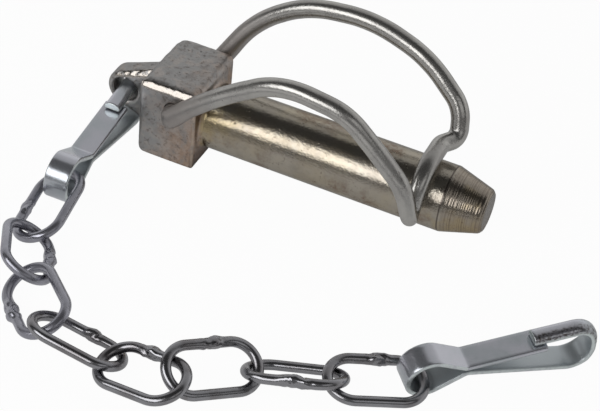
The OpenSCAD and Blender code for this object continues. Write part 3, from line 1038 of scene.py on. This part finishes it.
@dataclass
class Studio:
    """Floor, light and camera."""

    camera_at: tuple[float, float, float] = (137.0, -310.1, 262.3)
    right: tuple[float, float, float] = (0.906, 0.412, 0.093)
    down: tuple[float, float, float] = (0.333, -0.563, -0.756)
    lens: float = 107.3
    room_stops: Sequence[tuple[float, float]] = (
        (0.0, 0.2), (15.0, 0.22), (50.0, 0.14), (62.0, 0.07), (104.0, 0.06), (114.0, 0.5), (138.0, 0.62),
        (155.0, 0.85), (180.0, 0.8),
    )

    def camera(self) -> None:
        """Puts the camera where the photograph was taken from."""
        data = bpy.data.cameras.new("camera")
        data.sensor_width = 36.0
        data.sensor_fit = "HORIZONTAL"
        data.lens = self.lens
        data.clip_start = 0.01
        data.clip_end = 10.0
        right = Vector(self.right).normalized()
        up = -Vector(self.down)
        up = (up - right * up.dot(right)).normalized()
        back = right.cross(up)
        turn = Matrix((right, up, back)).transposed().to_4x4()
        camera = bpy.data.objects.new("camera", data)
        camera.matrix_world = Matrix.Translation(Vector(self.camera_at) * MM) @ turn
        bpy.context.scene.collection.objects.link(camera)
        bpy.context.scene.camera = camera

    def floor(self) -> None:
        """A pale floor that stays white to the camera and keeps a faint shadow."""
        mesh = bpy.data.meshes.new("floor")
        half, z = 3.0, FLOOR_Z * MM
        mesh.from_pydata([(-half, -half, z), (half, -half, z), (half, half, z), (-half, half, z)], [], [(0, 1, 2, 3)])
        floor = bpy.data.objects.new("floor", mesh)
        bpy.context.scene.collection.objects.link(floor)
        material = bpy.data.materials.new("floor_paper")
        material.use_nodes = True
        tree = material.node_tree
        tree.nodes.clear()
        desk = NodeDesk(tree)
        paper = desk.node("ShaderNodeBsdfDiffuse")
        paper.inputs["Color"].default_value = (0.9, 0.9, 0.9, 1.0)
        glow = desk.node("ShaderNodeEmission")
        glow.inputs["Color"].default_value = (1.0, 1.0, 1.0, 1.0)
        glow.inputs["Strength"].default_value = 1.0
        rays = desk.node("ShaderNodeLightPath")
        glossy = desk.math("MULTIPLY", rays.outputs["Is Glossy Ray"], 0.35)
        seen = desk.math("MAXIMUM", desk.math("MULTIPLY", rays.outputs["Is Camera Ray"], 0.96), glossy)
        mix = desk.node("ShaderNodeMixShader")
        desk.link(seen, mix.inputs[0])
        desk.link(paper.outputs[0], mix.inputs[1])
        desk.link(glow.outputs[0], mix.inputs[2])
        out = desk.node("ShaderNodeOutputMaterial")
        desk.link(mix.outputs[0], out.inputs["Surface"])
        mesh.materials.append(material)

    def world(self) -> None:
        """A dim room round the table: a dark ceiling, paler walls and white to the camera."""
        world = bpy.data.worlds.new("studio")
        world.use_nodes = True
        bpy.context.scene.world = world
        tree = world.node_tree
        tree.nodes.clear()
        desk = NodeDesk(tree)
        split = desk.node("ShaderNodeSeparateXYZ")
        desk.link(desk.node("ShaderNodeTexCoord").outputs["Generated"], split.inputs[0])
        swing = desk.math("ARCTAN2", split.outputs[2], desk.math("MULTIPLY", split.outputs[1], -1.0))
        room = desk.node("ShaderNodeValToRGB")
        desk.link(desk.math("DIVIDE", swing, math.pi), room.inputs[0])
        stops = room.color_ramp.elements
        while len(stops) < len(self.room_stops):
            stops.new(0.5)
        for stop, (degrees, level) in zip(stops, self.room_stops):
            stop.position = degrees / 180.0
            stop.color = (level, level, level, 1.0)
        light = desk.node("ShaderNodeBackground")
        desk.link(room.outputs[0], light.inputs["Color"])
        white = desk.node("ShaderNodeBackground")
        white.inputs["Color"].default_value = (1.0, 1.0, 1.0, 1.0)
        rays = desk.node("ShaderNodeLightPath")
        mix = desk.node("ShaderNodeMixShader")
        desk.link(rays.outputs["Is Camera Ray"], mix.inputs[0])
        desk.link(light.outputs[0], mix.inputs[1])
        desk.link(white.outputs[0], mix.inputs[2])
        out = desk.node("ShaderNodeOutputWorld")
        desk.link(mix.outputs[0], out.inputs["Surface"])

    def lamp(self, name: str, at: tuple[float, float, float], size: tuple[float, float], power: float) -> None:
        """A soft rectangular lamp that faces the object."""
        data = bpy.data.lights.new(name, "AREA")
        data.shape = "RECTANGLE"
        data.size, data.size_y = size
        data.energy = power
        lamp = bpy.data.objects.new(name, data)
        place = Vector(at)
        aim = Vector((0.035, -0.02, 0.0)) - place
        lamp.location = place
        lamp.rotation_euler = aim.to_track_quat("-Z", "Y").to_euler()
        bpy.context.scene.collection.objects.link(lamp)

    def build(self) -> None:
        """Sets up the whole studio."""
        self.camera()
        self.floor()
        self.world()
        self.lamp("key", (-0.204, -0.469, 0.318), (0.66, 0.31), 1.85)
        self.lamp("fill", (0.47, -0.26, 0.34), (0.4, 0.25), 0.18)
        scene = bpy.context.scene
        scene.view_settings.view_transform = "Standard"


FINISHES = {
    Slot.FORGING: ForgingFinish(
        "plated_forging", (0.37, 0.34, 0.29), (0.28, 0.25, 0.21), (0.1, 0.075, 0.06), roughness=0.17, grain=0.9,
        pit_amount=0.5, bump_distance=0.00025, edge_tint=0.6,
    ),
    Slot.WIRE: WireFinish(
        "plated_wire", (0.42, 0.41, 0.39), (0.31, 0.3, 0.29), (0.12, 0.1, 0.09), roughness=0.25, grain=0.9,
        roughness_swing=0.3, metallic=0.95, bump_distance=0.0002, edge_tint=0.8,
    ),
    Slot.STRIP: StripFinish(
        "plated_strip", (0.5, 0.505, 0.55), (0.4, 0.45, 0.465), (0.2, 0.25, 0.25), blotch_scale=110.0,
        roughness=0.21, roughness_swing=0.3, pit_amount=0.08, metallic=0.85,
    ),
    Slot.LINK: Finish(
        "plated_link", (0.285, 0.285, 0.3), (0.15, 0.135, 0.135), (0.07, 0.045, 0.04), roughness=0.22, pit_amount=0.2
    ),
}
DULL_LINK = Finish(
    "plated_link_dull", (0.345, 0.345, 0.385), (0.25, 0.25, 0.285), (0.12, 0.1, 0.11), roughness=0.27, pit_amount=0.2,
    roughness_swing=0.5, metallic=0.9,
)


def main() -> None:
    """Builds every piece in order, then the studio."""
    logging.basicConfig(level=logging.INFO, format="%(name)s %(message)s")
    plating = plating_group()
    materials = {slot: finish.build(plating) for slot, finish in FINISHES.items()}
    PinBody().build(materials[Slot.FORGING])
    Bail().build(materials[Slot.WIRE])
    SnapHook("lug_hook", (-20.7, -26.5, -1.6), 93.0, -1.0, 2.5).build(materials[Slot.STRIP])
    Chain().build(materials[Slot.LINK], DULL_LINK.build(plating))
    # Only the free hook's nose takes the painted dark reflection.
    SnapHook("free_hook", (81.3, -44.6, -2.15), 43.3, -2.5, 8.3, dark_reflection=1.0).build(materials[Slot.STRIP])
    Studio().build()


if __name__ == "__main__":
    main()
